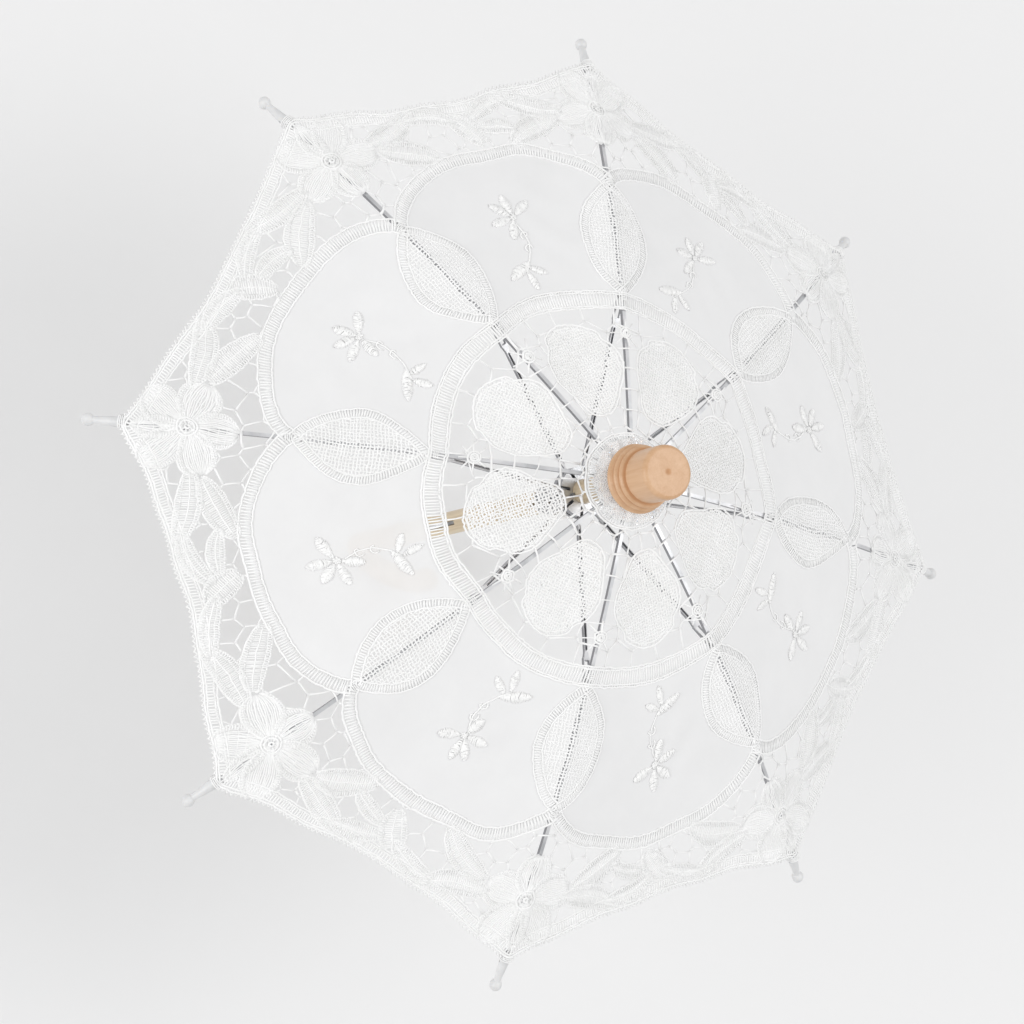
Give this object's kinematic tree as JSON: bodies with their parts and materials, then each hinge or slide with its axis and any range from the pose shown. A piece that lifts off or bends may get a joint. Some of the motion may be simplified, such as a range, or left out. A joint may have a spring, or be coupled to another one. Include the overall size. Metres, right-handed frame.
{
  "type": "lace parasol",
  "caption": "Small open lace parasol with a wooden shaft, crook handle, turned finial, folding steel ribs and a sliding runner.",
  "frame": {"origin": "on the shaft's axis at the top of the crook handle, where a hand holds it", "axes": "+Z along the shaft towards the finial, +X towards the crook's free end"},
  "size_m": [0.3748, 0.3748, 0.3025],
  "materials": {
    "shaft_wood": "smooth pale beech, thinly varnished",
    "finial_wood": "turned wood, clear satin varnish",
    "handle_wood": "bent wood, clear satin varnish",
    "lace": "white embroidered cotton lace and sheer organza",
    "ruffle": "gathered fine tulle with a faint glitter",
    "frame_steel": "bright nickelled sheet steel",
    "wire": "drawn steel wire",
    "tip_plastic": "white moulded plastic"
  },
  "bodies": {
    "root": {"shaft": "shaft_wood", "crook_handle": "handle_wood", "finial": "finial_wood", "ruffle_collar": "ruffle", "crown": "frame_steel", "crown_tie_wire": "wire", "crown_pin": "wire", "stop_pin": "wire", "catch_pins": "wire"},
    "rib_1": {"rib_1": "frame_steel", "rib_rivet_1": "wire", "rib_tip_1": "tip_plastic", "canopy_1": "lace"},
    "rib_2": {"rib_2": "frame_steel", "rib_rivet_2": "wire", "rib_tip_2": "tip_plastic", "canopy_2": "lace"},
    "rib_3": {"rib_3": "frame_steel", "rib_rivet_3": "wire", "rib_tip_3": "tip_plastic", "canopy_3": "lace"},
    "rib_4": {"rib_4": "frame_steel", "rib_rivet_4": "wire", "rib_tip_4": "tip_plastic", "canopy_4": "lace"},
    "rib_5": {"rib_5": "frame_steel", "rib_rivet_5": "wire", "rib_tip_5": "tip_plastic", "canopy_5": "lace"},
    "rib_6": {"rib_6": "frame_steel", "rib_rivet_6": "wire", "rib_tip_6": "tip_plastic", "canopy_6": "lace"},
    "rib_7": {"rib_7": "frame_steel", "rib_rivet_7": "wire", "rib_tip_7": "tip_plastic", "canopy_7": "lace"},
    "rib_8": {"rib_8": "frame_steel", "rib_rivet_8": "wire", "rib_tip_8": "tip_plastic", "canopy_8": "lace"},
    "stretcher_1": {"stretcher_1": "frame_steel"},
    "stretcher_2": {"stretcher_2": "frame_steel"},
    "stretcher_3": {"stretcher_3": "frame_steel"},
    "stretcher_4": {"stretcher_4": "frame_steel"},
    "stretcher_5": {"stretcher_5": "frame_steel"},
    "stretcher_6": {"stretcher_6": "frame_steel"},
    "stretcher_7": {"stretcher_7": "frame_steel"},
    "stretcher_8": {"stretcher_8": "frame_steel"},
    "runner": {"runner": "frame_steel", "runner_tie_wire": "wire"},
    "top_catch": {"top_catch_spring": "wire"},
    "hand_catch": {"hand_catch_spring": "wire"}
  },
  "joints": [
    {"name": "fold", "type": "hinge", "parent": "root", "child": "rib_1", "pos_m": [0.00739, 0.00306, 0.205], "axis": [-0.3827, 0.9239, 0], "range_deg": [0, 67], "deforming": ["canopy_1", "top_catch_spring", "hand_catch_spring"]},
    {"name": "rib_2_fold", "type": "hinge", "parent": "root", "child": "rib_2", "pos_m": [0.00306, 0.00739, 0.205], "axis": [-0.9239, 0.3827, 0], "range_deg": [0, 67], "deforming": ["canopy_2"]},
    {"name": "rib_3_fold", "type": "hinge", "parent": "root", "child": "rib_3", "pos_m": [-0.00306, 0.00739, 0.205], "axis": [-0.9239, -0.3827, 0], "range_deg": [0, 67], "deforming": ["canopy_3"]},
    {"name": "rib_4_fold", "type": "hinge", "parent": "root", "child": "rib_4", "pos_m": [-0.00739, 0.00306, 0.205], "axis": [-0.3827, -0.9239, 0], "range_deg": [0, 67], "deforming": ["canopy_4"]},
    {"name": "rib_5_fold", "type": "hinge", "parent": "root", "child": "rib_5", "pos_m": [-0.00739, -0.00306, 0.205], "axis": [0.3827, -0.9239, 0], "range_deg": [0, 67], "deforming": ["canopy_5"]},
    {"name": "rib_6_fold", "type": "hinge", "parent": "root", "child": "rib_6", "pos_m": [-0.00306, -0.00739, 0.205], "axis": [0.9239, -0.3827, 0], "range_deg": [0, 67], "deforming": ["canopy_6"]},
    {"name": "rib_7_fold", "type": "hinge", "parent": "root", "child": "rib_7", "pos_m": [0.00306, -0.00739, 0.205], "axis": [0.9239, 0.3827, 0], "range_deg": [0, 67], "deforming": ["canopy_7"]},
    {"name": "rib_8_fold", "type": "hinge", "parent": "root", "child": "rib_8", "pos_m": [0.00739, -0.00306, 0.205], "axis": [0.3827, 0.9239, 0], "range_deg": [0, 67], "deforming": ["canopy_8"]},
    {"name": "stretcher_1_fold", "type": "hinge", "parent": "rib_1", "child": "stretcher_1", "pos_m": [0.07307, 0.03027, 0.18469], "axis": [-0.3827, 0.9239, 0], "range_deg": [-134, 0]},
    {"name": "stretcher_2_fold", "type": "hinge", "parent": "rib_2", "child": "stretcher_2", "pos_m": [0.03027, 0.07307, 0.18469], "axis": [-0.9239, 0.3827, 0], "range_deg": [-134, 0]},
    {"name": "stretcher_3_fold", "type": "hinge", "parent": "rib_3", "child": "stretcher_3", "pos_m": [-0.03027, 0.07307, 0.18469], "axis": [-0.9239, -0.3827, 0], "range_deg": [-134, 0]},
    {"name": "stretcher_4_fold", "type": "hinge", "parent": "rib_4", "child": "stretcher_4", "pos_m": [-0.07307, 0.03027, 0.18469], "axis": [-0.3827, -0.9239, 0], "range_deg": [-134, 0]},
    {"name": "stretcher_5_fold", "type": "hinge", "parent": "rib_5", "child": "stretcher_5", "pos_m": [-0.07307, -0.03027, 0.18469], "axis": [0.3827, -0.9239, 0], "range_deg": [-134, 0]},
    {"name": "stretcher_6_fold", "type": "hinge", "parent": "rib_6", "child": "stretcher_6", "pos_m": [-0.03027, -0.07307, 0.18469], "axis": [0.9239, -0.3827, 0], "range_deg": [-134, 0]},
    {"name": "stretcher_7_fold", "type": "hinge", "parent": "rib_7", "child": "stretcher_7", "pos_m": [0.03027, -0.07307, 0.18469], "axis": [0.9239, 0.3827, 0], "range_deg": [-134, 0]},
    {"name": "stretcher_8_fold", "type": "hinge", "parent": "rib_8", "child": "stretcher_8", "pos_m": [0.07307, -0.03027, 0.18469], "axis": [0.3827, 0.9239, 0], "range_deg": [-134, 0]},
    {"name": "runner_travel", "type": "hinge", "parent": "stretcher_1", "child": "runner", "pos_m": [0.00739, 0.00306, 0.16439], "axis": [-0.3827, 0.9239, 0], "range_deg": [0, 67]},
    {"name": "top_catch_press", "type": "hinge", "parent": "root", "child": "top_catch", "pos_m": [0, 0, 0.12989], "axis": [0.7071, -0.7071, 0], "range_deg": [-7, 0], "stiffness_Nm_per_rad": 0.5},
    {"name": "hand_catch_press", "type": "hinge", "parent": "root", "child": "hand_catch", "pos_m": [0, 0, 0.05815], "axis": [0.7071, -0.7071, 0], "range_deg": [0, 7], "stiffness_Nm_per_rad": 0.5}
  ],
  "couplings": [
    {"joint": "rib_2_fold", "follows": "fold", "ratio": 1},
    {"joint": "rib_3_fold", "follows": "fold", "ratio": 1},
    {"joint": "rib_4_fold", "follows": "fold", "ratio": 1},
    {"joint": "rib_5_fold", "follows": "fold", "ratio": 1},
    {"joint": "rib_6_fold", "follows": "fold", "ratio": 1},
    {"joint": "rib_7_fold", "follows": "fold", "ratio": 1},
    {"joint": "rib_8_fold", "follows": "fold", "ratio": 1},
    {"joint": "stretcher_1_fold", "follows": "fold", "ratio": -2},
    {"joint": "stretcher_2_fold", "follows": "fold", "ratio": -2},
    {"joint": "stretcher_3_fold", "follows": "fold", "ratio": -2},
    {"joint": "stretcher_4_fold", "follows": "fold", "ratio": -2},
    {"joint": "stretcher_5_fold", "follows": "fold", "ratio": -2},
    {"joint": "stretcher_6_fold", "follows": "fold", "ratio": -2},
    {"joint": "stretcher_7_fold", "follows": "fold", "ratio": -2},
    {"joint": "stretcher_8_fold", "follows": "fold", "ratio": -2},
    {"joint": "runner_travel", "follows": "fold", "ratio": 1}
  ]
}
